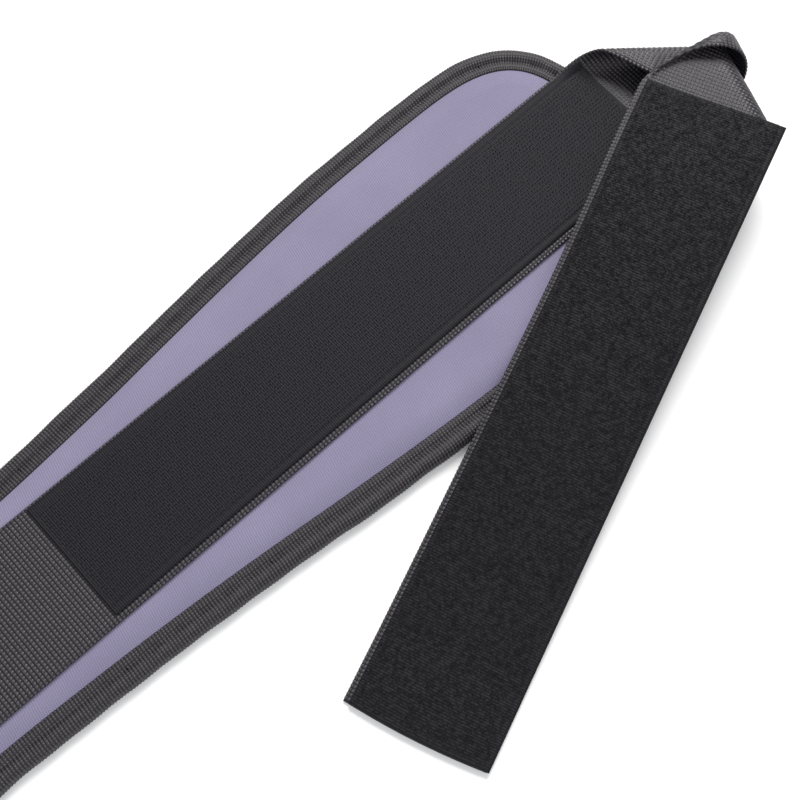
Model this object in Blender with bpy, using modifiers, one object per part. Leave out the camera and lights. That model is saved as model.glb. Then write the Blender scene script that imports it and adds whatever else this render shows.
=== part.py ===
"""Contoured weightlifting belt, lying outer side up, with its strap folded back over the front end.

Metres, +Z up. The belt runs along X, the middle of the panel's underside is the origin, and the
front end with the folded strap is at +X. The strap is worked out as a flat ribbon: s runs along it
from the panel's middle and t across it, and two rolls turn the flat ribbon into the folded one.
"""
import math

import bmesh
import bpy
from mathutils import Vector

# Panel
panel_length = 0.926
waist_width = 0.122
lobe_width = 0.1716
panel_thickness = 0.0105
edge_thickness = 0.005
end_length = 0.093
end_squareness = 3.2
pad_rise = 0.012

# Edge binding
binding_face = 0.014
binding_side = 0.0014
tape_thickness = 0.0012

# Strap and its two fastening tapes
webbing_width = 0.075
webbing_thickness = 0.0016
hook_width = 0.070
hook_length = 0.377
hook_thickness = 0.0018
hook_margin = 0.0015
loop_width = 0.073
loop_length = 0.360
loop_thickness = 0.002
loop_overhang = 0.001

# Ring buckle
ring_rod = 0.006
ring_inner_length = 0.026
ring_side_play = 0.0025
buckle_reach = 0.048
return_length = 0.040
seam_length = 0.014

clearance = 0.0003

# Mesh steps: along the ribbon where it is rolled, where it is flat, and across it
fold_step = 0.0028
flat_step = 0.055
width_step = 0.0055

# Where the strap is rolled: the line of each roll in the plan, and its radius
first_roll = {"ahead": 0.062, "aside": -0.0155, "angle": 148.0, "radius": 0.0035, "far_radius": 0.011,
              "spread": 0.090, "settle": 0.070, "lift": 0.0055}
second_roll = {"ahead": 0.056, "aside": 0.006, "angle": 68.6, "radius": 0.0155}
loop_start = 0.1145
drop_lead = 0.020
drop_tail = 0.040
drop_softness = 0.5

# The panel's outline: along is a share of half its length, width a share of the flare from waist to lobe
outline_table = (
    {"along": 0.00, "width": 0.00},
    {"along": 0.14, "width": 0.10},
    {"along": 0.25, "width": 0.24},
    {"along": 0.335, "width": 0.383},
    {"along": 0.465, "width": 0.645},
    {"along": 0.594, "width": 0.867},
    {"along": 0.68, "width": 0.96},
    {"along": 0.80, "width": 1.00},
)

# The padding's section: first a share of the binding's face width, then of the stretch where the pad rises
pad_table = (
    {"under_binding": 0.0, "rise": 0.0},
    {"under_binding": 0.5, "rise": 0.0},
    {"under_binding": 1.0, "rise": 0.06},
    {"under_binding": 1.0, "rise": 0.45},
    {"under_binding": 1.0, "rise": 1.0},
)

half_length = panel_length / 2
binding_bottom = tape_thickness + clearance
binding_height = edge_thickness + 2 * binding_bottom
strap_height = panel_thickness + clearance + webbing_thickness / 2
ring_radius = ring_rod / 2
ring_corner = ring_radius + ring_side_play
wrap_radius = ring_radius + clearance + webbing_thickness / 2
bar_height = wrap_radius + webbing_thickness / 2
bar_place = -half_length - buckle_reach
tail_height = webbing_thickness / 2
hook_end = half_length
loop_end = half_length + loop_start + loop_length

colours = {
    "jersey": (0.275, 0.255, 0.36),
    "binding": (0.022, 0.020, 0.023),
    "webbing": (0.014, 0.012, 0.016),
    "hook": (0.009, 0.009, 0.016),
    "loop": (0.007, 0.007, 0.012),
    "steel": (0.62, 0.62, 0.63),
}


def clear_scene():
    for old in list(bpy.data.objects):
        bpy.data.objects.remove(old, do_unlink=True)


def material(name, colour, roughness, metallic=0.0):
    made = bpy.data.materials.new(name)
    made.use_nodes = True
    shader = made.node_tree.nodes["Principled BSDF"]
    shader.inputs["Base Color"].default_value = (*colour, 1.0)
    shader.inputs["Roughness"].default_value = roughness
    shader.inputs["Metallic"].default_value = metallic
    return made


def add_object(name, data, finish, group):
    made = bpy.data.objects.new(name, data)
    made.data.materials.append(finish)
    group.objects.link(made)
    return made


def mesh_from(bm, name):
    bmesh.ops.recalc_face_normals(bm, faces=bm.faces[:])
    mesh = bpy.data.meshes.new(name)
    bm.to_mesh(mesh)
    bm.free()
    mesh.shade_smooth()
    mesh.set_sharp_from_angle(angle=math.radians(40))
    return mesh


def clamp(value, low=0.0, high=1.0):
    return max(low, min(high, value))


def smooth_step(value):
    share = clamp(value)
    return share * share * (3 - 2 * share)


def read_table(table, key, value, at):
    """A smooth curve through a table's rows, flat at both ends."""
    xs = [row[key] for row in table]
    ys = [row[value] for row in table]
    slopes = [0.0]
    for i in range(1, len(xs) - 1):
        slopes.append((ys[i + 1] - ys[i - 1]) / (xs[i + 1] - xs[i - 1]))
    slopes.append(0.0)
    at = clamp(at, xs[0], xs[-1])
    i = max(j for j in range(len(xs) - 1) if xs[j] <= at)
    span = xs[i + 1] - xs[i]
    f = (at - xs[i]) / span
    return ((1 + 2 * f) * (1 - f) ** 2 * ys[i] + f * (1 - f) ** 2 * span * slopes[i]
            + f * f * (3 - 2 * f) * ys[i + 1] + f * f * (f - 1) * span * slopes[i + 1])


def half_width(x):
    flare = read_table(outline_table, "along", "width", abs(x) / half_length)
    return (waist_width + (lobe_width - waist_width) * flare) / 2


def quarter_outline(side_rows=17, end_rows=15):
    """The outer edge from the panel's middle to the tip of its front end, on the +Y side."""
    corner_start = half_length - end_length
    points = [(corner_start * i / side_rows, half_width(corner_start * i / side_rows)) for i in range(side_rows)]
    for i in range(end_rows + 1):
        turn = math.pi / 2 * i / end_rows
        along = math.sin(turn) ** (2 / end_squareness)
        aside = math.cos(turn) ** (2 / end_squareness)
        points.append((corner_start + end_length * along, half_width(corner_start) * aside))
    return points


def closed_outline():
    """The whole outer edge, anticlockwise, with each point's place on the spine and its inward direction."""
    quarter = quarter_outline()
    front = quarter[:-1] + [(x, -y) for x, y in reversed(quarter)]
    edge = front[:-1] + [(-x, -y) for x, y in front[:-1]]
    edge.reverse()
    rows = []
    for i, (x, y) in enumerate(edge):
        before = Vector(edge[i - 1])
        after = Vector(edge[(i + 1) % len(edge)])
        run = (after - before).normalized()
        inward = Vector((-run.y, run.x))
        spine = clamp(x, -half_length + lobe_width / 2, half_length - lobe_width / 2)
        rows.append({"edge": Vector((x, y)), "inward": inward, "spine": Vector((spine, 0.0))})
    return rows


def loft(rings, closed_tube=False):
    """Joins rings of equal length with four-sided faces; a closed tube joins its last ring to its first."""
    bm = bmesh.new()
    grid = [[bm.verts.new(point) for point in ring] for ring in rings]
    pairs = list(zip(grid, grid[1:]))
    if closed_tube:
        pairs.append((grid[-1], grid[0]))
    for low, high in pairs:
        for i in range(len(low)):
            j = (i + 1) % len(low)
            bm.faces.new((low[i], low[j], high[j], high[i]))
    return bm


def build_panel(group):
    """Padding under its cover: thin at the binding, full under the strap, flat below."""
    outline = closed_outline()
    inset = tape_thickness + clearance

    def ring(row, upper):
        rise = smooth_step(row["rise"])
        bottom = binding_bottom * (1 - rise)
        top = binding_bottom + edge_thickness
        height = top + (panel_thickness - top) * rise if upper else bottom
        depth = inset + (binding_face - inset) * row["under_binding"] + pad_rise * row["rise"]
        return [(*(p["edge"] + p["inward"] * depth), height) for p in outline]

    def inner(share, height):
        depth = binding_face + pad_rise
        points = []
        for p in outline:
            start = p["edge"] + p["inward"] * depth
            points.append((*(p["spine"] + (start - p["spine"]) * share), height))
        return points

    rings = [inner(share, 0.0) for share in (0.0, 0.5)]
    rings += [ring(row, upper=False) for row in reversed(pad_table)]
    rings += [ring(row, upper=True) for row in pad_table]
    rings += [inner(share, panel_thickness) for share in (0.5, 0.0)]
    bm = loft(rings)
    bmesh.ops.remove_doubles(bm, verts=bm.verts[:], dist=1e-6)
    add_object("padded_panel", mesh_from(bm, "padded_panel"), material("jersey", colours["jersey"], 0.85), group)


def build_binding(group):
    """A ribbed tape folded round the panel's edge, its section a C that grips the pinched padding."""
    inner_low = binding_bottom - clearance
    inner_high = binding_bottom + edge_thickness + clearance
    outer_low = 0.0
    outer_high = binding_height
    wall = tape_thickness
    soft = binding_height * 0.28
    section = (
        (binding_face, inner_high), (wall, inner_high), (wall, inner_low), (binding_face, inner_low),
        (binding_face, outer_low), (soft, outer_low), (binding_side * 0.3, soft),
        (-binding_side * 0.2, binding_height / 2), (binding_side * 0.3, outer_high - soft), (soft, outer_high),
        (binding_face, outer_high),
    )
    rings = []
    for p in closed_outline():
        rings.append([(*(p["edge"] + p["inward"] * depth), height) for depth, height in section])
    bm = loft(rings, closed_tube=True)
    add_object("edge_binding", mesh_from(bm, "edge_binding"), material("binding", colours["binding"], 0.8), group)


def roll_frame(roll):
    """A roll line's point, the direction along it and the direction that the ribbon crosses it in."""
    turn = math.radians(roll["angle"])
    along = Vector((math.cos(turn), math.sin(turn)))
    across = Vector((along.y, -along.x))
    if across.x < 0:
        across = -across
    return Vector((half_length + roll["ahead"], roll["aside"])), along, across


def ribbon_point(s, t, flat_tape=False):
    """Where the flat ribbon's point (s, t) lies. A flat tape is stiff, so the second roll leaves it straight."""
    place, along, across = roll_frame(first_roll)
    offset = Vector((s, t)) - place
    beside = offset.dot(along)
    ahead = offset.dot(across)
    widen = clamp(beside / first_roll["spread"])
    radius = first_roll["radius"] + (first_roll["far_radius"] - first_roll["radius"]) * widen
    turn = clamp(ahead / radius, 0.0, math.pi)
    past = ahead - math.pi * radius
    height = radius * (1 - math.cos(turn))
    reach = ahead if ahead < 0 else radius * math.sin(turn)
    if past > 0:
        reach = -past
        height -= (2 * radius - first_roll["lift"]) * smooth_step(past / first_roll["settle"])
    plan = place + along * beside + across * reach

    place, along, across = roll_frame(second_roll)
    offset = plan - place
    beside = offset.dot(along)
    ahead = offset.dot(across)
    radius = max(second_roll["radius"] - height, webbing_thickness)
    turn = clamp(ahead / radius, 0.0, math.pi)
    if flat_tape:
        turn = math.pi
    reach = radius * math.sin(turn)
    if ahead < 0 and not flat_tape:
        reach = ahead
    elif turn >= math.pi:
        reach = -(ahead - math.pi * radius)
    height = second_roll["radius"] - radius * math.cos(turn)
    plan = place + along * beside + across * reach

    lead = half_length + loop_start - drop_lead
    share = clamp((s - lead) / (loop_end - drop_tail - lead))
    share = drop_softness * smooth_step(share) + (1 - drop_softness) * share
    height += (tail_height - strap_height - height) * share
    return Vector((plan.x, plan.y, strap_height + height))


def ribbon_offset(s, t, lift, flat_tape=False):
    """A point over the ribbon's outer face, lift above its middle."""
    step = 0.0005
    run = ribbon_point(s + step, t, flat_tape) - ribbon_point(s - step, t, flat_tape)
    side = ribbon_point(s, t + step, flat_tape) - ribbon_point(s, t - step, flat_tape)
    return ribbon_point(s, t, flat_tape) + run.cross(side).normalized() * lift


def buckle_end_rows():
    """The strap's own end: sewn up against its underside, round the ring's bar and up onto the panel."""
    top = bar_height + wrap_radius
    sewn = top - webbing_thickness - clearance
    rows = []
    for i in range(7):
        share = i / 6
        rows.append((bar_place + return_length - seam_length * share * 0.9, sewn))
    start = bar_place + return_length - seam_length
    for i in range(1, 7):
        share = i / 6
        rows.append((start + (bar_place - start) * share, sewn + (tail_height - sewn) * smooth_step(share)))
    for i in range(1, 10):
        turn = math.pi * i / 10
        rows.append((bar_place - wrap_radius * math.sin(turn), bar_height - wrap_radius * math.cos(turn)))
    landing = -half_length + binding_face
    for i in range(8):
        share = i / 7
        rows.append((bar_place + (landing - bar_place) * share, top + (strap_height - top) * smooth_step(share)))
    return rows


def spaced(start, end, step):
    count = max(1, round((end - start) / step))
    return [start + (end - start) * i / count for i in range(count + 1)]


def sheet_mesh(rows, name):
    """A sheet through rows of points, laid over a grid that the mesh tools make."""
    bm = bmesh.new()
    bmesh.ops.create_grid(bm, x_segments=len(rows) - 1, y_segments=len(rows[0]) - 1, size=0.5)
    bm.verts.ensure_lookup_table()
    for vert in bm.verts:
        i = round((vert.co.x + 0.5) * (len(rows) - 1))
        j = round((vert.co.y + 0.5) * (len(rows[0]) - 1))
        vert.co = rows[i][j]
    mesh = bpy.data.meshes.new(name)
    bm.to_mesh(mesh)
    bm.free()
    mesh.shade_smooth()
    return mesh


def thicken(made, thickness):
    solid = made.modifiers.new("thickness", "SOLIDIFY")
    solid.thickness = thickness
    solid.offset = 0.0


def build_strap(group):
    across = spaced(-webbing_width / 2, webbing_width / 2, width_step)
    rows = [[Vector((x, t, z)) for t in across] for x, z in buckle_end_rows()]
    roll_start = half_length + loop_start - webbing_width * 1.9
    roll_end = half_length + loop_start + webbing_width * 0.6
    lengthwise = spaced(-half_length + 2 * binding_face, roll_start, flat_step)
    lengthwise += spaced(roll_start, roll_end, fold_step)[1:]
    lengthwise += spaced(roll_end, loop_end, 0.018)[1:]
    rows += [[ribbon_point(s, t) for t in across] for s in lengthwise]
    made = add_object("webbing_strap", sheet_mesh(rows, "webbing_strap"),
                      material("webbing", colours["webbing"], 0.7), group)
    thicken(made, webbing_thickness)


def build_hook_patch(group):
    """Hook tape sewn along the strap, from one edge of it to a strip of bare webbing at the other."""
    lift = webbing_thickness / 2 + clearance + hook_thickness / 2
    edge = webbing_width / 2 - hook_margin
    across = spaced(edge - hook_width, edge, width_step)
    flat_end = hook_end - webbing_width / 2
    lengthwise = spaced(hook_end - hook_length, flat_end, flat_step) + spaced(flat_end, hook_end, fold_step)[1:]
    rows = [[ribbon_offset(s, t, lift) for t in across] for s in lengthwise]
    made = add_object("hook_patch", sheet_mesh(rows, "hook_patch"),
                      material("hook_tape", colours["hook"], 0.65), group)
    thicken(made, hook_thickness)


def build_loop_patch(group):
    """Loop tape on the tail, stiff enough to stay straight where the webbing rolls under it."""
    lift = webbing_thickness / 2 + clearance + loop_thickness / 2
    edge = webbing_width / 2 + loop_overhang
    across = spaced(edge - loop_width, edge, 0.010)
    rows = []
    for s in spaced(half_length + loop_start, loop_end, 0.012):
        rows.append([ribbon_offset(s, t, lift, flat_tape=True) for t in across])
    made = add_object("loop_patch", sheet_mesh(rows, "loop_patch"),
                      material("loop_tape", colours["loop"], 0.95), group)
    thicken(made, loop_thickness)


def build_ring(group):
    """A plain welded ring of round rod; the strap's end is looped round its inner bar."""
    half_x = (ring_inner_length + ring_rod) / 2
    half_y = webbing_width / 2 + ring_side_play + ring_radius
    centre = Vector((bar_place - half_x, 0.0, bar_height))
    tip = math.asin((bar_height - ring_radius) / (2 * half_x))
    curve = bpy.data.curves.new("buckle_ring", "CURVE")
    curve.dimensions = "3D"
    curve.bevel_depth = ring_radius
    curve.bevel_resolution = 2
    corners = ((1, 1), (-1, 1), (-1, -1), (1, -1))
    points = []
    for i, (sign_x, sign_y) in enumerate(corners):
        for k in range(6):
            turn = math.pi / 2 * (i + k / 5)
            points.append((sign_x * (half_x - ring_corner) + ring_corner * math.cos(turn),
                           sign_y * (half_y - ring_corner) + ring_corner * math.sin(turn)))
    spline = curve.splines.new("POLY")
    spline.points.add(len(points) - 1)
    for point, (x, y) in zip(spline.points, points):
        swing = x - half_x
        point.co = (swing * math.cos(tip) + half_x, y, swing * math.sin(tip), 1.0)
    spline.use_cyclic_u = True
    made = add_object("buckle_ring", curve, material("steel", colours["steel"], 0.3, 1.0), group)
    made.location = centre


def main():
    clear_scene()
    group = bpy.data.collections.new("weightlifting_belt")
    bpy.context.scene.collection.children.link(group)
    build_panel(group)
    build_binding(group)
    build_strap(group)
    build_hook_patch(group)
    build_loop_patch(group)
    build_ring(group)


main()
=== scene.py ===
import math

import bmesh
import bpy
import numpy as np
from mathutils import Matrix, Vector


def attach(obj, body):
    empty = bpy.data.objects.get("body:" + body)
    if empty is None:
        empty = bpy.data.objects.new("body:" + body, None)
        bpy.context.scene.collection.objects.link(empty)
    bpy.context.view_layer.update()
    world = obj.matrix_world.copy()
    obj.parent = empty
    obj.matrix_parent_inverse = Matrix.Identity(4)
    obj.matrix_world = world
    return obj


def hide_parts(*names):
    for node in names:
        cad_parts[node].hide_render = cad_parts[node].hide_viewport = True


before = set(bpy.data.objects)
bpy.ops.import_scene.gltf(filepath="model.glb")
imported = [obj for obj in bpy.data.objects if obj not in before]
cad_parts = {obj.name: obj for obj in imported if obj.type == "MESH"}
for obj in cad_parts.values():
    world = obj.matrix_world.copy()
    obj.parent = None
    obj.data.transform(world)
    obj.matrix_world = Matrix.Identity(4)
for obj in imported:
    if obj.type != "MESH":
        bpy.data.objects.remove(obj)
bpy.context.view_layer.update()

print("frame loaded:", ", ".join(sorted(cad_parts)))

# All sizes are metres. X runs along the belt, and the folded end is at +X.
belt = {
    "panelLength": 0.926, "waistWidth": 0.122, "lobeWidth": 0.1716, "panelThickness": 0.0105,
    "edgeThickness": 0.005, "endLength": 0.093, "endSquareness": 3.2, "bindingFace": 0.014,
    "bindingWall": 0.0012, "webbingWidth": 0.075, "webbingThickness": 0.0016, "clearance": 0.0003,
}
halfLength = belt["panelLength"] / 2
edgeLow = belt["bindingWall"] + belt["clearance"]
edgeHigh = edgeLow + belt["edgeThickness"]
halfWebbing = belt["webbingWidth"] / 2
strapHeight = belt["panelThickness"] + belt["clearance"] + belt["webbingThickness"] / 2
tailHeight = belt["webbingThickness"] / 2
loopStart = halfLength + 0.1145
loopEnd = loopStart + 0.360

outlineTable = (  # along is a share of half the panel's length, width a share of the flare
    (0.00, 0.00), (0.14, 0.10), (0.25, 0.24), (0.335, 0.383),
    (0.465, 0.645), (0.594, 0.867), (0.68, 0.96), (0.80, 1.00),
)
firstRoll = {"ahead": 0.062, "aside": -0.0155, "angle": 148.0, "radius": 0.0035, "farRadius": 0.011,
             "spread": 0.090, "settle": 0.070, "lift": 0.0055}
secondRoll = {"ahead": 0.056, "aside": 0.006, "angle": 68.6, "radius": 0.0155}
tailDrop = {"lead": 0.020, "tail": 0.040, "softness": 0.5}
random = np.random.default_rng(7)
outlineSteps = 300  # places on each part of a quarter of the outline, before they are spaced evenly
slopeReach = 3  # places to each side from which the outline's direction is taken
slopeStep = 0.0005
mergeDistance = 1e-6
beltRound = 2.1  # about the distance round the edge, which sets how many ribs and stitches there are


def smoothStep(value):
    share = np.clip(value, 0.0, 1.0)
    return share * share * (3 - 2 * share)


def unit(vectors):
    return vectors / np.maximum(np.linalg.norm(vectors, axis=-1, keepdims=True), 1e-12)


def ripple(x, y, size, seed, waves=7, spread=(0.7, 1.5), gain=1.6):
    # soft uneven waves of about the given size, from -1 to 1
    draw = np.random.default_rng(seed)
    total = np.zeros(np.broadcast(x, y).shape)
    for _ in range(waves):
        turn, phase, stretch = draw.uniform(0, math.tau), draw.uniform(0, math.tau), draw.uniform(*spread)
        total += np.sin((x * math.cos(turn) + y * math.sin(turn)) * math.tau / (size * stretch) + phase)
    return total / waves * gain


def readTable(table, at):
    # a smooth curve through the table's rows, flat at both ends
    xs, ys = [row[0] for row in table], [row[1] for row in table]
    slopes = [0.0]
    for i in range(1, len(xs) - 1):
        slopes.append((ys[i + 1] - ys[i - 1]) / (xs[i + 1] - xs[i - 1]))
    slopes.append(0.0)
    at = min(max(at, xs[0]), xs[-1])
    i = max(j for j in range(len(xs) - 1) if xs[j] <= at)
    span = xs[i + 1] - xs[i]
    f = (at - xs[i]) / span
    return ((1 + 2 * f) * (1 - f) ** 2 * ys[i] + f * (1 - f) ** 2 * span * slopes[i]
            + f * f * (3 - 2 * f) * ys[i + 1] + f * f * (f - 1) * span * slopes[i + 1])


def halfWidth(x):
    flare = readTable(outlineTable, abs(x) / halfLength)
    return (belt["waistWidth"] + (belt["lobeWidth"] - belt["waistWidth"]) * flare) / 2


def panelOutline(count):
    # the outer edge, evenly spaced and anticlockwise, with each point's inward direction and distance round
    cornerStart = halfLength - belt["endLength"]
    steps, power = outlineSteps, 2 / belt["endSquareness"]
    quarter = [(cornerStart * i / steps, halfWidth(cornerStart * i / steps)) for i in range(steps)]
    for i in range(steps + 1):
        turn = math.pi / 2 * i / steps
        along, aside = math.sin(turn) ** power, math.cos(turn) ** power
        quarter.append((cornerStart + belt["endLength"] * along, halfWidth(cornerStart) * aside))
    front = quarter[:-1] + [(x, -y) for x, y in reversed(quarter)]
    edge = front[:-1] + [(-x, -y) for x, y in front[:-1]]
    edge = np.array(edge[::-1] + edge[-1:])
    walked = np.concatenate(([0.0], np.cumsum(np.linalg.norm(np.diff(edge, axis=0), axis=1))))
    at = np.linspace(0.0, walked[-1], count + 1)
    points = np.stack([np.interp(at, walked, edge[:, k]) for k in (0, 1)], -1)
    run = np.roll(points[:-1], -slopeReach, axis=0) - np.roll(points[:-1], slopeReach, axis=0)
    run = unit(np.concatenate((run, run[:1])))
    inward = np.stack((-run[:, 1], run[:, 0]), -1)
    return points, inward, at


def rollFrame(roll):
    turn = math.radians(roll["angle"])
    along = np.array((math.cos(turn), math.sin(turn)))
    across = np.array((along[1], -along[0]))
    if across[0] < 0:
        across = -across
    return np.array((halfLength + roll["ahead"], roll["aside"])), along, across


def ribbonPoint(s, t, flatTape=False):
    # where the flat ribbon's point (s, t) lies once it has been rolled over two lines
    place, along, across = rollFrame(firstRoll)
    offset = np.stack((s, t), -1) - place
    beside, ahead = offset @ along, offset @ across
    widen = np.clip(beside / firstRoll["spread"], 0, 1)
    radius = firstRoll["radius"] + (firstRoll["farRadius"] - firstRoll["radius"]) * widen
    turn = np.clip(ahead / radius, 0.0, math.pi)
    past = ahead - math.pi * radius
    height = radius * (1 - np.cos(turn))
    reach = np.where(ahead < 0, ahead, radius * np.sin(turn))
    reach = np.where(past > 0, -past, reach)
    settled = (2 * radius - firstRoll["lift"]) * smoothStep(past / firstRoll["settle"])
    height = height - np.where(past > 0, settled, 0)
    plan = place + beside[..., None] * along + reach[..., None] * across

    place, along, across = rollFrame(secondRoll)
    offset = plan - place
    beside, ahead = offset @ along, offset @ across
    radius = np.maximum(secondRoll["radius"] - height, belt["webbingThickness"])
    turn = np.full_like(ahead, math.pi) if flatTape else np.clip(ahead / radius, 0.0, math.pi)
    reach = radius * np.sin(turn)
    if not flatTape:
        reach = np.where(ahead < 0, ahead, reach)
    reach = np.where(turn >= math.pi, -(ahead - math.pi * radius), reach)
    height = secondRoll["radius"] - radius * np.cos(turn)
    plan = place + beside[..., None] * along + reach[..., None] * across

    lead = loopStart - tailDrop["lead"]
    share = np.clip((s - lead) / (loopEnd - tailDrop["tail"] - lead), 0, 1)
    share = tailDrop["softness"] * smoothStep(share) + (1 - tailDrop["softness"]) * share
    height = height + (tailHeight - strapHeight - height) * share
    return np.concatenate((plan, (strapHeight + height)[..., None]), -1)


def ribbonFrame(s, t, flatTape=False):
    # a place on the ribbon's middle, with the directions along it, across it and out of its outer face
    run = unit(ribbonPoint(s + slopeStep, t, flatTape) - ribbonPoint(s - slopeStep, t, flatTape))
    side = unit(ribbonPoint(s, t + slopeStep, flatTape) - ribbonPoint(s, t - slopeStep, flatTape))
    return ribbonPoint(s, t, flatTape), run, side, unit(np.cross(run, side))


def finishMesh(mesh):
    bm = bmesh.new()
    bm.from_mesh(mesh)
    bmesh.ops.remove_doubles(bm, verts=bm.verts[:], dist=mergeDistance)
    bmesh.ops.recalc_face_normals(bm, faces=bm.faces[:])
    bm.to_mesh(mesh)
    bm.free()
    mesh.shade_smooth()


def addPiece(name, mesh, finish):
    piece = bpy.data.objects.new(name, mesh)
    bpy.context.scene.collection.objects.link(piece)
    mesh.materials.append(finish)
    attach(piece, "root")
    return piece


def gridMesh(name, places, flat):
    # a sheet laid over rows of places; flat holds each place on the flat cloth, in metres,
    # and becomes the UV map
    rows, columns = places.shape[:2]
    bm = bmesh.new()
    bmesh.ops.create_grid(bm, x_segments=rows - 1, y_segments=columns - 1, size=0.5)
    mesh = bpy.data.meshes.new(name)
    bm.to_mesh(mesh)
    bm.free()
    start = np.empty(len(mesh.vertices) * 3, np.float32)
    mesh.vertices.foreach_get("co", start)
    start = start.reshape(-1, 3)
    i = np.rint((start[:, 0] + 0.5) * (rows - 1)).astype(int)
    j = np.rint((start[:, 1] + 0.5) * (columns - 1)).astype(int)
    mesh.vertices.foreach_set("co", places[i, j].astype(np.float32).ravel())
    corner = np.empty(len(mesh.loops), np.int32)
    mesh.loops.foreach_get("vertex_index", corner)
    layer = mesh.uv_layers.new(name="flat")
    layer.uv.foreach_set("vector", flat[i, j][corner].astype(np.float32).ravel())
    finishMesh(mesh)
    return mesh


def thickSheetMesh(name, centre, flat, half):
    # a cloth with two faces and closed edges; half is half its thickness at each place
    run, side = np.gradient(centre, axis=0), np.gradient(centre, axis=1)
    normal = unit(np.cross(run, side)) * half[..., None]
    top, bottom = centre + normal, centre - normal
    ring = np.concatenate((top, bottom[:, ::-1], top[:, :1]), axis=1)
    ringFlat = np.concatenate((flat, flat[:, ::-1], flat[:, :1]), axis=1)
    return gridMesh(name, ring, ringFlat)


def scatter(name, shape, places, axes, finish):
    # many copies of one small shape; axes holds each copy's three scaled directions as rows
    corners = np.array([v.co for v in shape.verts])
    shape.verts.index_update()
    faces = [[v.index for v in face.verts] for face in shape.faces]
    count = len(corners)
    points = np.einsum("vk,nkc->nvc", corners, axes) + places[:, None]
    sizes = np.array([len(face) for face in faces])
    order = np.concatenate(faces)
    mesh = bpy.data.meshes.new(name)
    mesh.vertices.add(len(places) * count)
    mesh.vertices.foreach_set("co", points.astype(np.float32).ravel())
    every = (order[None] + (np.arange(len(places)) * count)[:, None]).ravel()
    mesh.loops.add(len(every))
    mesh.loops.foreach_set("vertex_index", every.astype(np.int32))
    starts = np.concatenate(([0], np.cumsum(np.tile(sizes, len(places)))[:-1]))
    mesh.polygons.add(len(starts))
    mesh.polygons.foreach_set("loop_start", starts.astype(np.int32))
    mesh.update(calc_edges=True)
    mesh.validate()
    mesh.shade_smooth()
    return addPiece(name, mesh, finish)


def linearColour(code):
    shares = [int(code[i:i + 2], 16) / 255 for i in (1, 3, 5)]
    return tuple(c / 12.92 if c <= 0.04045 else ((c + 0.055) / 1.055) ** 2.4 for c in shares) + (1.0,)


def newMaterial(name, **settings):
    made = bpy.data.materials.new(name)
    made.use_nodes = True
    shader = made.node_tree.nodes["Principled BSDF"]
    for key, value in settings.items():
        shader.inputs[key.replace("_", " ")].default_value = value
    return made, made.node_tree, shader


def addNode(tree, kind, inputs=None, **settings):
    node = tree.nodes.new("ShaderNode" + kind)
    for key, value in settings.items():
        setattr(node, key, value)
    for key, value in (inputs or {}).items():
        if isinstance(value, bpy.types.NodeSocket):
            tree.links.new(value, node.inputs[key])
        else:
            node.inputs[key].default_value = value
    return node


def bandScale(pitch):
    # a band texture repeats every 0.3142 / scale metres
    return math.tau / 20 / pitch


def mixColour(tree, share, first, second):
    mixed = addNode(tree, "Mix", {"Factor": share, 6: first, 7: second}, data_type="RGBA")
    return mixed.outputs[2]


jersey = {"colour": "#7d7890", "dark": "#6a657d", "light": "#8d88a1",
          "wale": 0.0012, "course": 0.0009, "turn": 13.0}


def makeJersey():
    # nylon jersey bonded to foam: fine slanting wales, a dry soft face, hardly any gloss
    made, tree, shader = newMaterial("laminatedNylonJersey", Roughness=0.85, Specular_IOR_Level=0.3)
    coords = addNode(tree, "TexCoord").outputs["Object"]
    slant = (0, 0, math.radians(jersey["turn"]))
    turned = addNode(tree, "Mapping", {"Vector": coords, "Rotation": slant}).outputs[0]
    wale = addNode(tree, "TexWave", {"Vector": turned, "Scale": bandScale(jersey["wale"]), "Distortion": 1.2,
                                     "Detail": 2.0, "Detail Scale": 1.5}, bands_direction="X").outputs["Fac"]
    course = addNode(tree, "TexWave", {"Vector": turned, "Scale": bandScale(jersey["course"]),
                                       "Distortion": 1.5}, bands_direction="Y").outputs["Fac"]
    knit = addNode(tree, "Math", {0: wale, 1: course}, operation="MULTIPLY").outputs[0]
    speck = addNode(tree, "TexNoise", {"Vector": coords, "Scale": 900.0, "Detail": 3.0}).outputs["Fac"]
    cloud = addNode(tree, "TexNoise", {"Vector": coords, "Scale": 22.0, "Detail": 3.0}).outputs["Fac"]
    body = mixColour(tree, wale, linearColour(jersey["dark"]), linearColour(jersey["light"]))
    body = mixColour(tree, speck, body, linearColour(jersey["colour"]))
    worn = addNode(tree, "MapRange", {"Value": cloud, "From Min": 0.3, "From Max": 0.7,
                                      "To Max": 0.35}).outputs[0]
    tree.links.new(mixColour(tree, worn, body, linearColour(jersey["dark"])), shader.inputs["Base Color"])
    bump = addNode(tree, "Bump", {"Height": knit, "Strength": 0.6, "Distance": 0.00022})
    tree.links.new(bump.outputs[0], shader.inputs["Normal"])
    return made


# groove colours are painted shade for the rib grooves, crest colours painted light on the rib crests, glint
# colours a painted highlight
webbing = {"groove": "#08070a", "litCrest": "#2e2b31", "glint": "#4b474f", "rib": 0.0022, "yarn": 0.0019,
           "roughness": 0.42, "gloss": 0.35}
bindingTape = {"groove": "#0c0b0d", "litCrest": "#343135", "glint": "#4e4a50", "rib": 0.00175, "yarn": 0.0016,
               "roughness": 0.5, "gloss": 0.3}


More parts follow.
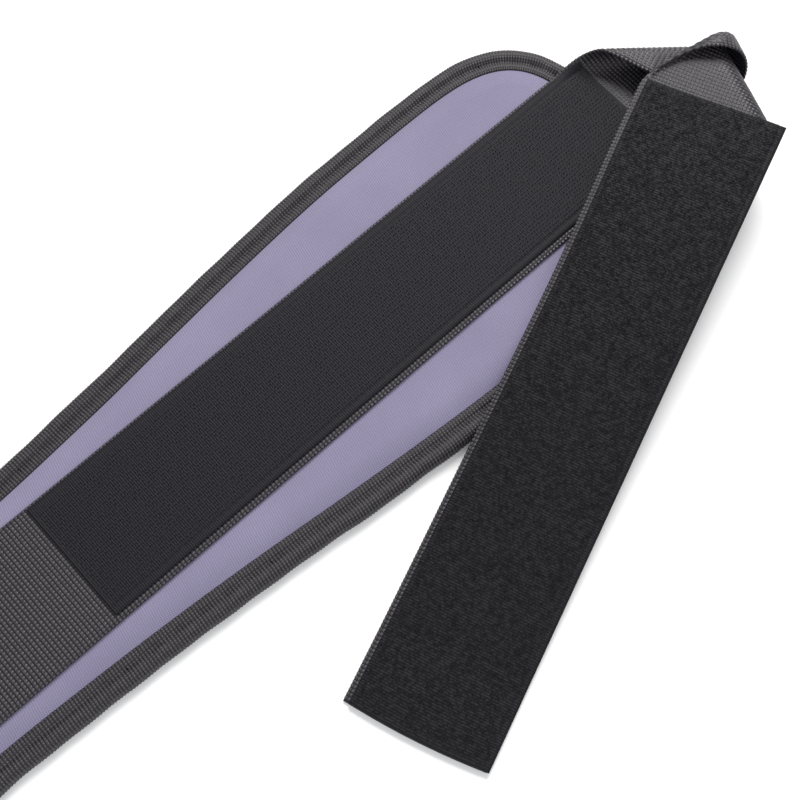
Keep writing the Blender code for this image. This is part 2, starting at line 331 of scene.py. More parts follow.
def makeRibbed(name, weave):
    # polyester filament yarn, woven in ribs across the tape: satin crests with a knuckle at each warp. The
    # colour holds painted shade in the grooves, painted light on the crests and a painted highlight on each
    # knuckle
    made, tree, shader = newMaterial(name, Roughness=weave["roughness"], Specular_IOR_Level=weave["gloss"])
    coords = addNode(tree, "TexCoord").outputs["UV"]
    rib = addNode(tree, "TexWave", {"Vector": coords, "Scale": bandScale(weave["rib"])},
                  bands_direction="X").outputs["Fac"]
    yarn = addNode(tree, "TexWave", {"Vector": coords, "Scale": bandScale(weave["yarn"]), "Distortion": 1.0,
                                     "Detail": 2.0, "Detail Scale": 2.0}, bands_direction="Y").outputs["Fac"]
    litCrest = addNode(tree, "MapRange", {"Value": rib, "From Min": 0.15, "From Max": 0.75}).outputs[0]
    knuckleGlint = addNode(tree, "Math", {0: litCrest, 1: yarn}, operation="MULTIPLY").outputs[0]
    cloud = addNode(tree, "TexNoise", {"Vector": coords, "Scale": 350.0, "Detail": 4.0}).outputs["Fac"]
    # painted shade in the grooves and painted light on the crests, following the rib waves
    body = mixColour(tree, litCrest, linearColour(weave["groove"]), linearColour(weave["litCrest"]))
    # painted highlight on each knuckle where a crest crosses a warp
    body = mixColour(tree, knuckleGlint, body, linearColour(weave["glint"]))
    uneven = addNode(tree, "MapRange", {"Value": cloud, "From Min": 0.35, "From Max": 0.75,
                                        "To Max": 0.5}).outputs[0]
    tree.links.new(mixColour(tree, uneven, body, linearColour(weave["groove"])), shader.inputs["Base Color"])
    bump = addNode(tree, "Bump", {"Height": knuckleGlint, "Strength": 0.8, "Distance": 0.0003})
    tree.links.new(bump.outputs[0], shader.inputs["Normal"])
    return made


hookTape = {"colour": "#07070b", "light": "#14141e", "hook": "#1c1c28"}
loopTape = {"colour": "#050507", "light": "#131218", "fibre": "#121117"}


def makeTapeBase(name, colour, light, pitch):
    # tightly woven nylon ground that holds the hooks or the pile
    made, tree, shader = newMaterial(name, Roughness=0.6, Specular_IOR_Level=0.2)
    coords = addNode(tree, "TexCoord").outputs["UV"]
    rib = addNode(tree, "TexWave", {"Vector": coords, "Scale": bandScale(pitch), "Distortion": 0.5},
                  bands_direction="X").outputs["Fac"]
    grain = addNode(tree, "TexNoise", {"Vector": coords, "Scale": 700.0, "Detail": 3.0}).outputs["Fac"]
    height = addNode(tree, "Math", {0: rib, 1: grain}, operation="ADD").outputs[0]
    tree.links.new(mixColour(tree, rib, linearColour(colour), linearColour(light)), shader.inputs["Base Color"])
    bump = addNode(tree, "Bump", {"Height": height, "Strength": 0.6, "Distance": 0.0002})
    tree.links.new(bump.outputs[0], shader.inputs["Normal"])
    return made


def makePlainYarn(name, colour, roughness, scale):
    # filament yarn: a little variation from one strand to the next
    made, tree, shader = newMaterial(name, Roughness=roughness, Specular_IOR_Level=0.25)
    coords = addNode(tree, "TexCoord").outputs["Object"]
    cloud = addNode(tree, "TexNoise", {"Vector": coords, "Scale": scale, "Detail": 3.0}).outputs["Fac"]
    base = linearColour(colour)
    pale = tuple(min(1.0, c * 2.2) for c in base[:3]) + (1.0,)
    tree.links.new(mixColour(tree, cloud, base, pale), shader.inputs["Base Color"])
    return made


def makeSteel():
    # nickel-plated steel wire, polished: bright, with faint drawn lines
    made, tree, shader = newMaterial("platedSteelRod", Metallic=1.0, Roughness=0.25)
    shader.inputs["Base Color"].default_value = linearColour("#c9c9cc")
    coords = addNode(tree, "TexCoord").outputs["Object"]
    drawn = addNode(tree, "Mapping", {"Vector": coords, "Scale": (900, 60, 900)}).outputs[0]
    lines = addNode(tree, "TexNoise", {"Vector": drawn, "Scale": 1.0, "Detail": 3.0}).outputs["Fac"]
    rough = addNode(tree, "MapRange", {"Value": lines, "To Min": 0.18, "To Max": 0.36}).outputs[0]
    tree.links.new(rough, shader.inputs["Roughness"])
    return made


jerseyFinish = makeJersey()
webbingFinish = makeRibbed("ribbedPolyesterWebbing", webbing)
bindingFinish = makeRibbed("grosgrainBindingTape", bindingTape)
hookGroundFinish = makeTapeBase("wovenHookGround", hookTape["colour"], hookTape["light"], 0.0012)
loopGroundFinish = makeTapeBase("wovenLoopGround", loopTape["colour"], loopTape["light"], 0.0014)
hookFinish = makePlainYarn("nylonHookFilament", hookTape["hook"], 0.4, 300.0)
pileFinish = makePlainYarn("brushedLoopPile", loopTape["fibre"], 0.8, 140.0)
threadFinish = makePlainYarn("blackSewingThread", "#1a191d", 0.5, 800.0)
steelFinish = makeSteel()
print("materials made")


panel = {"around": 760, "padRise": 0.012, "puff": 2.0, "unevenness": 0.00025, "unevenSize": 0.045,
         "underRows": 7, "swellRows": 13, "edgeFlat": 0.0006, "edgeRound": 0.0008, "tuck": 0.0015,
         "fade": 0.002, "strapMargin": 0.001,
         "topShares": (0.93, 0.86, 0.78, 0.7, 0.6, 0.5, 0.35, 0.2, 0.0)}


def makePanel():
    points, inward, _ = panelOutline(panel["around"])
    spine = np.stack((np.clip(points[:, 0], -halfLength + belt["lobeWidth"] / 2,
                              halfLength - belt["lobeWidth"] / 2), points[:, 1] * 0), -1)
    inset = belt["bindingWall"] + belt["clearance"]
    face, rise = belt["bindingFace"], panel["padRise"]
    deep = points + inward * (face + rise)

    def ring(depth, height):
        return np.concatenate((points + inward * depth, np.full((len(points), 1), height)), -1)

    def inner(share, height):
        return np.concatenate((spine + (deep - spine) * share, np.full((len(points), 1), height)), -1)

    rings = [inner(share, 0.0) for share in (0.0, 0.5)]
    for share in np.linspace(1, 0, panel["underRows"]):  # underside, curling up under the binding
        rings.append(ring(face + rise * share, edgeLow * (1 - smoothStep(share))))
    flatIn, corner, tuck = inset + panel["edgeFlat"], panel["edgeRound"], panel["tuck"]
    rings += [ring(face * 0.5, edgeLow), ring(flatIn, edgeLow), ring(inset, edgeLow + corner)]
    rings += [ring(inset, edgeHigh - corner), ring(flatIn, edgeHigh), ring(face * 0.5, edgeHigh)]
    for share in np.linspace(0, 1, panel["swellRows"]):  # the padding swells up from the binding
        swell = 1 - (1 - share) ** panel["puff"]
        rings.append(ring(face - tuck + (rise + tuck) * share,
                          edgeHigh + (belt["panelThickness"] - edgeHigh) * swell))
    rings += [inner(share, belt["panelThickness"]) for share in panel["topShares"]]
    places = np.stack(rings)
    top = smoothStep((places[..., 2] - edgeHigh) / panel["fade"])
    # the strap presses this part flat
    under = np.abs(places[..., 1]) < halfWebbing + panel["strapMargin"]
    wave = ripple(places[..., 0], places[..., 1], panel["unevenSize"], 3)
    places[..., 2] += np.where(under, 0.0, top * wave * panel["unevenness"])
    mesh = gridMesh("coverPanel", places, places[..., :2])
    piece = addPiece("coverPanel", mesh, jerseyFinish)
    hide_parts("padded_panel")


makePanel()
print("panel made")


binding = {"tapeWidth": 0.0365, "ribHeight": 0.00020, "seamDepth": 0.0084, "seamWidth": 0.0011, "sink": 0.0011,
           "seamPucker": 0.00025, "bulge": 0.0007, "bulgePucker": 0.0002, "fullness": 0.8, "pucker": 0.009,
           "wander": 0.00035, "wanderSize": 0.030, "edgeRound": 0.0034, "lip": 0.0006, "lipDrop": 0.0005,
           "flatFrom": 0.003, "slopeLift": 0.6, "seamGap": 0.0001, "stitchPitch": 0.0042,
           "stitchHalf": 0.0015, "thread": 0.00022, "stitchLift": 0.00005,
           "depths": (0.0115, 0.0100, 0.0092, 0.0084, 0.0076, 0.0066, 0.0050, 0.0034, 0.0020, 0.0008)}
underTable = (  # depth in from the edge, height, share of the ribs' height, and how far the ribs stand up
    (-0.0002, 0.0042, 1.0, 0.0), (-0.0002, 0.0026, 1.0, 0.0), (0.0008, 0.0010, 1.0, -0.4),
    (0.0026, 0.0002, 0.0, 0.0), (0.0060, 0.0, 0.0, 0.0),
)


def bindingTop(depth, around):
    # height of the tape's upper face at a depth in from the edge, with the seam pulled down and puckered
    seam = binding["seamDepth"]
    pull = np.exp(-((depth - seam) / binding["seamWidth"]) ** 2)
    swell = np.sin(math.pi * np.clip(depth / seam, 0, 1)) ** binding["fullness"]
    pucker = ripple(around, depth * 0, binding["pucker"], 11)
    height = edgeHigh + belt["clearance"] + belt["bindingWall"]
    swell = swell * (binding["bulge"] + binding["bulgePucker"] * pucker)
    return height + swell - pull * (binding["sink"] + binding["seamPucker"] * pucker)


def makeBinding():
    count = 2 * round(beltRound / bindingTape["rib"])
    points, inward, around = panelOutline(count)
    face, wall = belt["bindingFace"], belt["bindingWall"]
    rib = np.where(np.arange(count + 1) % 2 == 0, 1, -1) * binding["ribHeight"]
    wander = ripple(around, around * 0, binding["wanderSize"], 5) * binding["wander"]
    rings, flat = [], []
    along, last = 0.0, None

    def ring(depth, height, ribShare, lift=0.0):
        nonlocal along, last
        out = rib * ribShare
        place = points + inward * (depth + wander * (1 - depth / face))[:, None]
        z = height + out * lift
        side = out * (1 - abs(lift))
        place = place - inward * side[:, None]
        rings.append(np.concatenate((place, z[:, None]), -1))
        here = np.array((depth, float(np.mean(height))))
        along += 0.0 if last is None else float(np.linalg.norm(here - last))
        last = here
        flat.append(np.stack((around / around[-1] * count * bindingTape["rib"] / 2 + bindingTape["rib"] / 2,
                              np.full_like(around, along)), -1))

    one = np.ones_like(around)
    for depth in (face, face - binding["lip"], *binding["depths"]):
        rounding = np.clip(depth / binding["edgeRound"], 0, 1)
        top = bindingTop(depth * one, around)
        top = top - (1 - np.sqrt(1 - (1 - rounding) ** 2)) * binding["edgeRound"]
        lift = 1.0 if depth > binding["flatFrom"] else binding["slopeLift"]
        ring(depth, top if depth < face else top - binding["lipDrop"], 1.0, lift)
    for depth, height, ribShare, lift in underTable:
        ring(depth, one * height, ribShare, lift)
    lower, upper = edgeLow - belt["clearance"], edgeHigh + belt["clearance"]
    # the tape's inner side, round the panel's edge
    for depth, height in ((face, 0.0), (face, lower), (wall, lower), (wall, upper),
                          (binding["seamDepth"], edgeHigh + binding["seamGap"]), (face, upper)):
        ring(depth, one * height, 0.0)
    places, uvs = np.stack(rings + rings[:1]), np.stack(flat + flat[:1])
    places[:, -1] = places[:, 0]
    mesh = gridMesh("edgeBinding", places, uvs)
    piece = addPiece("edgeBinding", mesh, bindingFinish)
    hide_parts("edge_binding")


makeBinding()
print("binding made")


strap = {"ribHeight": 0.00034, "ribDip": 0.0001, "across": 25, "selvedge": 0.0007, "selvedgeShare": 0.45,
         "scallop": 0.0003, "endBow": 0.0018, "bowReach": 0.03, "bowMiddle": 0.4, "buckleReach": 0.048,
         "rodRadius": 0.003, "returnLength": 0.040, "seamLength": 0.014, "seamShare": 0.9,
         "sewnRows": 6, "slopeRows": 18, "turnRows": 20, "riseRows": 19}
barPlace = -halfLength - strap["buckleReach"]
wrapRadius = strap["rodRadius"] + belt["clearance"] + belt["webbingThickness"] / 2
barHeight = wrapRadius + belt["webbingThickness"] / 2
landing = -halfLength + belt["bindingFace"]


def buckleProfile():
    # the strap's sewn end: back under itself, round the ring's bar and up onto the panel
    top = barHeight + wrapRadius
    sewn = top - belt["webbingThickness"] - belt["clearance"]
    bar, back, seam = barPlace, strap["returnLength"], strap["seamLength"]
    sewnRows, slopeRows = strap["sewnRows"], strap["slopeRows"]
    turnRows, riseRows = strap["turnRows"], strap["riseRows"]
    rows = [(bar + back - seam * strap["seamShare"] * i / sewnRows, sewn) for i in range(sewnRows + 1)]
    start = bar + back - seam
    for i in range(1, slopeRows + 1):
        share = float(smoothStep(i / slopeRows))
        rows.append((start + (bar - start) * i / slopeRows, sewn + (tailHeight - sewn) * share))
    for i in range(1, turnRows):
        turn = math.pi * i / turnRows
        rows.append((bar - wrapRadius * math.sin(turn), barHeight - wrapRadius * math.cos(turn)))
    for i in range(riseRows + 1):
        share = float(smoothStep(i / riseRows))
        rows.append((bar + (landing - bar) * i / riseRows, top + (strapHeight - top) * share))
    rows = np.array(rows)
    walked = np.concatenate(([0.0], np.cumsum(np.linalg.norm(np.diff(rows, axis=0), axis=1))))
    return rows, walked


def endBow(s, t):
    # the cut end bows out a little in its middle
    near = smoothStep((s - loopEnd + strap["bowReach"]) / strap["bowReach"])
    return s + strap["endBow"] * near * (strap["bowMiddle"] - (t / halfWebbing) ** 2)


def makeStrap():
    rows, walked = buckleProfile()
    start = landing - walked[-1]
    half = webbing["rib"] / 2
    s = start + half * np.arange(round((loopEnd - start) / half) + 1)
    s[-1] = loopEnd
    edge = halfWebbing - strap["selvedge"]
    t = np.concatenate(([-halfWebbing], np.linspace(-edge, edge, strap["across"]), [halfWebbing]))
    sign = np.where(np.arange(len(s)) % 2 == 0, 1.0, -1.0)
    sGrid, tGrid = np.meshgrid(s, t, indexing="ij")
    reach = tGrid + np.sign(tGrid) * (np.abs(tGrid) >= edge) * sign[:, None] * strap["scallop"] / 2
    centre = ribbonPoint(endBow(sGrid, tGrid), reach)
    early = sGrid < landing
    x = np.interp(sGrid - start, walked, rows[:, 0])
    z = np.interp(sGrid - start, walked, rows[:, 1])
    centre = np.where(early[..., None], np.stack((x, reach, z), -1), centre)
    thick = np.full(sGrid.shape, belt["webbingThickness"] / 2 - strap["ribDip"])
    thick += sign[:, None] * strap["ribHeight"] / 2
    thick[:, [0, -1]] *= strap["selvedgeShare"]
    thick[[0, -1]] = 0
    mesh = thickSheetMesh("webbingStrap", centre, np.stack((sGrid - start + half, tGrid), -1), thick)
    piece = addPiece("webbingStrap", mesh, webbingFinish)
    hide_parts("webbing_strap")


makeStrap()
print("strap made")


tape = {"lip": 0.0003, "columns": 24, "columnGap": 0.0007, "lipShare": 0.4, "dentShare": 0.5, "evenDent": 0.75,
        "root": 0.0001}
hookPatch = {"width": 0.070, "length": 0.377, "margin": 0.0015, "base": 0.0008, "step": 0.0011, "pitch": 0.0020,
             "upperBare": 0.0052, "lowerBare": 0.0040, "endBare": 0.0030, "lineIn": 0.0012, "lineOut": 0.0008,
             "shiftAlong": 0.12, "shiftAside": 0.08, "lean": 0.35, "stemHeight": 0.0005, "bend": 0.00034,
             "curl": 150.0, "wire": 0.00020, "wireSpread": (0.85, 1.15), "groove": 0.0004,
             "grooveWidth": 0.0014, "grooveOut": 0.0003, "stitchPitch": 0.0044}


def patchSheet(name, sStart, sEnd, tLow, tHigh, base, step, flatTape, grooves, finish, bow=False):
    rows = max(2, round((sEnd - sStart) / step))
    lip = tape["lip"]
    s = np.concatenate(([sStart, sStart + lip], np.linspace(sStart, sEnd, rows + 1)[1:-1], [sEnd - lip, sEnd]))
    marks = [tLow, tLow + lip, tHigh - lip, tHigh]
    for place, width in grooves:
        marks += [place - width, place - width / 2, place, place + width / 2, place + width]
    inside = [m for m in np.linspace(tLow, tHigh, tape["columns"])[1:-1]
              if min(abs(m - k) for k in marks) > tape["columnGap"]]
    t = np.array(sorted(marks + inside))
    sGrid, tGrid = np.meshgrid(s, t, indexing="ij")
    at = endBow(sGrid, tGrid) if bow else sGrid
    centre, _, _, normal = ribbonFrame(at, tGrid, flatTape)
    lift = belt["webbingThickness"] / 2 + belt["clearance"] + base / 2
    thick = np.full(sGrid.shape, base / 2)
    drop = np.zeros(sGrid.shape)
    for place, width in grooves:
        dent = np.exp(-((tGrid - place) / (width * tape["dentShare"])) ** 2)
        even = tape["evenDent"] + (1 - tape["evenDent"]) * np.cos(sGrid * math.tau / hookPatch["stitchPitch"])
        drop += dent * hookPatch["groove"] * even
    thick = thick - drop / 2
    centre = centre + normal * (lift - drop / 2)[..., None]
    thick[:, [0, -1]] *= tape["lipShare"]
    thick[[0, -1]] = 0
    mesh = thickSheetMesh(name, centre, np.stack((sGrid, tGrid), -1), thick)
    return addPiece(name, mesh, finish)


def hookShape():
    # one monofilament hook: a stem that bends over, three-sided because it is so small
    bm = bmesh.new()
    made = bmesh.ops.create_circle(bm, cap_ends=False, segments=3, radius=1.0)
    edges = list({e for v in made["verts"] for e in v.link_edges})
    grown = bmesh.ops.extrude_edge_only(bm, edges=edges)["geom"]
    tips = [g for g in grown if isinstance(g, bmesh.types.BMVert)]
    stem = hookPatch["stemHeight"] / hookPatch["wire"]
    bmesh.ops.translate(bm, verts=tips, vec=(0, 0, stem))
    loop = [g for g in grown if isinstance(g, bmesh.types.BMEdge)]
    away = hookPatch["bend"] / hookPatch["wire"]
    spun = bmesh.ops.spin(bm, geom=tips + loop, cent=(away, 0, stem), axis=(0, 1, 0),
                          angle=math.radians(hookPatch["curl"]), steps=3, use_merge=False)
    last = [g for g in spun["geom_last"] if isinstance(g, bmesh.types.BMVert)]
    bmesh.ops.contextual_create(bm, geom=last)
    bmesh.ops.recalc_face_normals(bm, faces=bm.faces[:])
    return bm


def makeHookPatch():
    tHigh = halfWebbing - hookPatch["margin"]
    tLow = tHigh - hookPatch["width"]
    sEnd = halfLength
    sStart = sEnd - hookPatch["length"]
    upper, lower = tHigh - hookPatch["upperBare"], tLow + hookPatch["lowerBare"]
    grooves = [(upper + hookPatch["grooveOut"], hookPatch["grooveWidth"]),
               (lower - hookPatch["grooveOut"], hookPatch["grooveWidth"])]
    base = patchSheet("hookPatch", sStart, sEnd, tLow, tHigh, hookPatch["base"], hookPatch["step"], False,
                      grooves, hookGroundFinish)
    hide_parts("hook_patch")
    pitch = hookPatch["pitch"]
    t = np.arange(lower + hookPatch["lineIn"], upper - hookPatch["lineOut"], pitch)
    s = np.arange(sStart + hookPatch["endBare"], sEnd - hookPatch["endBare"], pitch)
    sGrid, tGrid = np.meshgrid(s, t, indexing="ij")
    sGrid = sGrid + (np.arange(len(t)) % 2)[None] * pitch / 2  # each line of hooks starts half a pitch on
    along, aside, lean = hookPatch["shiftAlong"], hookPatch["shiftAside"], hookPatch["lean"]
    sFlat = sGrid.ravel() + random.uniform(-along, along, sGrid.size) * pitch
    tFlat = tGrid.ravel() + random.uniform(-aside, aside, sGrid.size) * pitch
    centre, run, side, normal = ribbonFrame(sFlat, tFlat)
    lift = belt["webbingThickness"] / 2 + belt["clearance"] + hookPatch["base"] - tape["root"]
    places = centre + normal * lift
    way = np.where(np.tile(np.arange(len(t)) % 2, len(s)) == 0, 1.0, -1.0)[:, None]
    forward = unit(run * way + side * random.uniform(-lean, lean, sFlat.size)[:, None])
    sideways = unit(np.cross(normal, forward))
    wire = hookPatch["wire"] * random.uniform(*hookPatch["wireSpread"], sFlat.size)[:, None]
    axes = np.stack((forward * wire, sideways * wire, normal * wire), 1)
    field = scatter("hookField", hookShape(), places, axes, hookFinish)
    return base, field, (sStart, sEnd, tLow, tHigh, upper, lower)


hookBase, hookField, hookEdges = makeHookPatch()
print("hook tape made,", len(hookField.data.polygons), "hook faces")


loopPatch = {"width": 0.073, "length": 0.360, "overhang": 0.001, "base": 0.0012, "step": 0.0020,
             "selvedge": 0.0030, "seamIn": 0.0032, "grooveWidth": 0.0010, "pileStart": 0.0015, "pileEnd": 0.002,
             "fibres": 19000, "fibreLength": 0.0022, "fibreWidth": 0.00011, "nap": 0.0006}
# one fibre's arch, in its own widths, and how much the fibres differ
arch = {"lean": 40.0, "steps": ((8.0, 4.5), (8.0, -1.5)), "run": 16, "rise": 4.5,
        "wide": (0.8, 1.3), "long": (0.6, 1.3), "tall": (0.6, 1.4)}


def fibreShape():
    # one loop of pile: a thin three-sided arch that springs from the ground and dives back
    bm = bmesh.new()
    made = bmesh.ops.create_circle(bm, cap_ends=False, segments=3, radius=1.0)
    bmesh.ops.rotate(bm, verts=made["verts"], cent=(0, 0, 0),
                     matrix=Matrix.Rotation(math.radians(arch["lean"]), 3, "Y"))
    edges = list({e for v in made["verts"] for e in v.link_edges})
    for forward, up in arch["steps"]:
        grown = bmesh.ops.extrude_edge_only(bm, edges=edges)["geom"]
        verts = [g for g in grown if isinstance(g, bmesh.types.BMVert)]
        edges = [g for g in grown if isinstance(g, bmesh.types.BMEdge)]
        bmesh.ops.translate(bm, verts=verts, vec=(forward, 0, up))
    bmesh.ops.contextual_create(bm, geom=verts)
    bmesh.ops.recalc_face_normals(bm, faces=bm.faces[:])
    return bm


def makeLoopPatch():
    tHigh = halfWebbing + loopPatch["overhang"]
    tLow = tHigh - loopPatch["width"]
    grooves = [(tHigh - loopPatch["seamIn"], loopPatch["grooveWidth"]),
               (tLow + loopPatch["seamIn"], loopPatch["grooveWidth"])]
    base = patchSheet("loopPatch", loopStart, loopEnd, tLow, tHigh, loopPatch["base"], loopPatch["step"],
                      True, grooves, loopGroundFinish, bow=True)
    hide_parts("loop_patch")
    count = loopPatch["fibres"]
    s = random.uniform(loopStart + loopPatch["pileStart"], loopEnd - loopPatch["pileEnd"], count)
    t = random.uniform(tLow + loopPatch["selvedge"] * 0.5, tHigh - loopPatch["selvedge"], count)
    centre, run, side, normal = ribbonFrame(endBow(s, t), t, True)
    turn = random.uniform(0, math.tau, count)[:, None]
    forward = run * np.cos(turn) + side * np.sin(turn)
    sideways = np.cross(normal, forward)
    wide = loopPatch["fibreWidth"] * random.uniform(*arch["wide"], count)[:, None]
    long = loopPatch["fibreLength"] / arch["run"] * random.uniform(*arch["long"], count)[:, None]
    tall = loopPatch["nap"] / arch["rise"] * random.uniform(*arch["tall"], count)[:, None]
    axes = np.stack((forward * long, sideways * wide, normal * tall), 1)
    lift = belt["webbingThickness"] / 2 + belt["clearance"] + loopPatch["base"] - tape["root"]
    pile = scatter("loopPile", fibreShape(), centre + normal * lift, axes, pileFinish)
    return base, pile, (tLow, tHigh)


loopBase, loopPile, loopEdges = makeLoopPatch()
print("loop tape made,", len(loopPile.data.polygons), "pile faces")


stitch = {"inset": 0.004, "endIn": 0.0020, "endLift": 0.0002, "length": 0.0032, "width": 0.0004,
          "loopPitch": 0.0036, "loopLength": 0.0026, "loopSink": 0.0003}


def stitchShape():
    # one stitch: a short drop of thread, pointed where it dives into the cloth
    bm = bmesh.new()
    bmesh.ops.create_icosphere(bm, subdivisions=1, radius=1.0)
    return bm


def makeStitches(name, s, t, lift, alongRibbon, flatTape=False, length=stitch["length"]):
    centre, run, side, normal = ribbonFrame(s, t, flatTape)
    forward = run if alongRibbon else side
    sideways = np.cross(normal, forward)
    width = stitch["width"]
    axes = np.stack((forward * length / 2, sideways * width / 2, normal * width / 2), 1)
    return scatter(name, stitchShape(), centre + normal * lift, axes, threadFinish)


def makeTapeStitches():
    sStart, sEnd, tLow, tHigh, upper, lower = hookEdges
    pitch = hookPatch["stitchPitch"]
    inset, endIn, out = stitch["inset"], stitch["endIn"], hookPatch["grooveOut"]
    line = np.arange(sStart + inset, sEnd - inset, pitch)
    cross = np.arange(tLow + inset, tHigh - inset, pitch)
    s = np.concatenate((line, line, np.full(len(cross), sStart + endIn), np.full(len(cross), sEnd - endIn)))
    t = np.concatenate((np.full(len(line), upper + out), np.full(len(line), lower - out), cross, cross))
    lift = belt["webbingThickness"] / 2 + belt["clearance"] + hookPatch["base"] - hookPatch["groove"] * 0.5
    runs = 2 * len(line)
    first = makeStitches("hookSideStitches", s[:runs], t[:runs], lift, True)
    second = makeStitches("hookEndStitches", s[runs:], t[runs:], lift + stitch["endLift"], False)
    low, high = loopEdges
    line = np.arange(loopStart + inset, loopEnd - inset, stitch["loopPitch"])
    s = np.concatenate((line, line))
    t = np.concatenate((np.full(len(line), low + loopPatch["seamIn"]),
                        np.full(len(line), high - loopPatch["seamIn"])))
    lift = belt["webbingThickness"] / 2 + belt["clearance"] + loopPatch["base"] - stitch["loopSink"]
    third = makeStitches("loopSideStitches", s, t, lift, True, flatTape=True,
                         length=stitch["loopLength"])


def makeBindingStitches():
    points, inward, around = panelOutline(round(beltRound / binding["stitchPitch"]))
    points, inward, around = points[:-1], inward[:-1], around[:-1]
    depth = binding["seamDepth"]
    height = bindingTop(np.full_like(around, depth), around) + binding["stitchLift"]
    places = np.concatenate((points + inward * depth, height[:, None]), -1)
    forward = np.stack((inward[:, 1], -inward[:, 0], around * 0), -1)
    sideways = np.concatenate((inward, around[:, None] * 0), -1)
    up = np.tile((0.0, 0.0, 1.0), (len(points), 1))
    thread = binding["thread"]
    axes = np.stack((forward * binding["stitchHalf"], sideways * thread, up * thread), 1)
    scatter("bindingStitches", stitchShape(), places, axes, threadFinish)


makeTapeStitches()
makeBindingStitches()
print("stitches made")


ring = {"rod": 0.006, "innerLength": 0.026, "sidePlay": 0.0025, "merge": 1e-5}


def makeRing():
    radius = ring["rod"] / 2
    corner = radius + ring["sidePlay"]
    halfX = (ring["innerLength"] + ring["rod"]) / 2
    halfY = halfWebbing + ring["sidePlay"] + radius
    tip = math.asin((barHeight - radius) / (2 * halfX))
    bm = bmesh.new()
    section = bmesh.ops.create_circle(bm, cap_ends=False, segments=20, radius=radius)["verts"]
    # the rod runs along the straight sides and turns at each corner
    bmesh.ops.rotate(bm, verts=section, cent=(0, 0, 0), matrix=Matrix.Rotation(math.pi / 2, 3, "X"))
    bmesh.ops.translate(bm, verts=section, vec=(halfX, 0, 0))
    edges = list(bm.edges)
    for i in range(4):
        signX, signY = ((1, 1), (-1, 1), (-1, -1), (1, -1))[i]
        heading = Vector(((0, 1, 0), (-1, 0, 0), (0, -1, 0), (1, 0, 0))[i])
        here = sum((v.co for v in {v for e in edges for v in e.verts}), Vector()) / (len(edges))
        centre = Vector((signX * (halfX - corner), signY * (halfY - corner), 0))
        travel = (centre - here).dot(heading)
        grown = bmesh.ops.extrude_edge_only(bm, edges=edges)["geom"]
        verts = [g for g in grown if isinstance(g, bmesh.types.BMVert)]
        edges = [g for g in grown if isinstance(g, bmesh.types.BMEdge)]
        bmesh.ops.translate(bm, verts=verts, vec=heading * travel)
        spun = bmesh.ops.spin(bm, geom=verts + edges, cent=centre, axis=(0, 0, 1), angle=math.pi / 2, steps=8,
                              use_merge=False)["geom_last"]
        edges = [g for g in spun if isinstance(g, bmesh.types.BMEdge)]
    grown = bmesh.ops.extrude_edge_only(bm, edges=edges)["geom"]
    verts = [g for g in grown if isinstance(g, bmesh.types.BMVert)]
    here = sum((v.co for v in verts), Vector()) / len(verts)
    bmesh.ops.translate(bm, verts=verts, vec=(0, -here.y, 0))
    bmesh.ops.remove_doubles(bm, verts=bm.verts[:], dist=ring["merge"])
    for vert in bm.verts:
        swing = vert.co.x - halfX
        z = vert.co.z
        vert.co.x = swing * math.cos(tip) - z * math.sin(tip) + halfX
        vert.co.z = swing * math.sin(tip) + z * math.cos(tip)
    bmesh.ops.translate(bm, verts=bm.verts[:], vec=(barPlace - halfX, 0, barHeight))
    bmesh.ops.recalc_face_normals(bm, faces=bm.faces[:])
    mesh = bpy.data.meshes.new("buckleRing")
    bm.to_mesh(mesh)
    bm.free()
    mesh.shade_smooth()
    piece = addPiece("buckleRing", mesh, steelFinish)
    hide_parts("buckle_ring")


makeRing()
print("ring made")


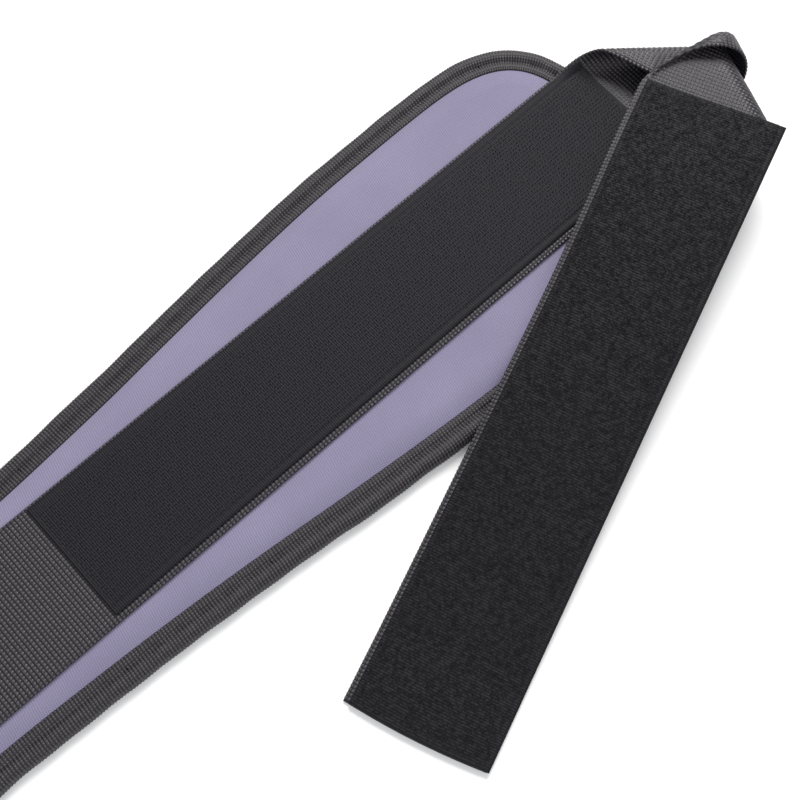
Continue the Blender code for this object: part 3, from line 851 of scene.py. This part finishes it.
studio = {"floorColour": "#f4f4f4", "floorDrop": 0.0004, "floorHalf": 4.0, "world": 0.55}
lamps = {
    "key": {"place": (1.9, 1.1, 2.0), "aim": (0.25, 0, 0), "size": 1.4, "power": 95.0,
            "colour": (1.0, 0.99, 0.97)},
    "fill": {"place": (-0.9, -0.9, 1.4), "aim": (0.1, 0, 0), "size": 1.2, "power": 16.0,
             "colour": (0.95, 0.97, 1.0)},
}
view = {"azimuth": -42.445, "elevation": 70.0, "distance": 0.70156, "aim": (0.2590, -0.0442, 0.0116),
        "lens": 63.0, "sensor": 36.0, "clip": 0.01}


def makeFloor():
    bm = bmesh.new()
    bmesh.ops.create_grid(bm, x_segments=1, y_segments=1, size=studio["floorHalf"])
    bmesh.ops.translate(bm, verts=bm.verts[:], vec=(0, 0, -studio["floorDrop"]))
    mesh = bpy.data.meshes.new("floor")
    bm.to_mesh(mesh)
    bm.free()
    floor = bpy.data.objects.new("floor", mesh)
    bpy.context.scene.collection.objects.link(floor)
    finish, _, shader = newMaterial("paintedFloor", Roughness=0.9)
    shader.inputs["Base Color"].default_value = linearColour(studio["floorColour"])
    mesh.materials.append(finish)


def addLamp(name, place, aim, size, power, colour):
    light = bpy.data.lights.new(name, "AREA")
    light.size, light.energy, light.color = size, power, colour
    holder = bpy.data.objects.new(name, light)
    holder.location = place
    holder.rotation_euler = (Vector(aim) - Vector(place)).to_track_quat("-Z", "Y").to_euler()
    bpy.context.scene.collection.objects.link(holder)


def makeStudio():
    world = bpy.data.worlds.new("studio")
    world.use_nodes = True
    backdrop = world.node_tree.nodes["Background"]
    backdrop.inputs["Color"].default_value = (1.0, 1.0, 1.0, 1.0)
    backdrop.inputs["Strength"].default_value = studio["world"]
    bpy.context.scene.world = world
    bpy.context.scene.view_settings.view_transform = "Standard"
    for name, lamp in lamps.items():
        addLamp(name, **lamp)


def makeCamera():
    turn, rise = math.radians(view["azimuth"]), math.radians(view["elevation"])
    back = Vector((math.sin(turn) * math.cos(rise), -math.cos(turn) * math.cos(rise), math.sin(rise)))
    lens = bpy.data.cameras.new("camera")
    lens.lens, lens.sensor_width, lens.clip_start = view["lens"], view["sensor"], view["clip"]
    holder = bpy.data.objects.new("camera", lens)
    holder.location = Vector(view["aim"]) + back * view["distance"]
    holder.rotation_euler = (-back).to_track_quat("-Z", "Y").to_euler()
    bpy.context.scene.collection.objects.link(holder)
    bpy.context.scene.camera = holder


makeFloor()
makeStudio()
makeCamera()
print("studio made")
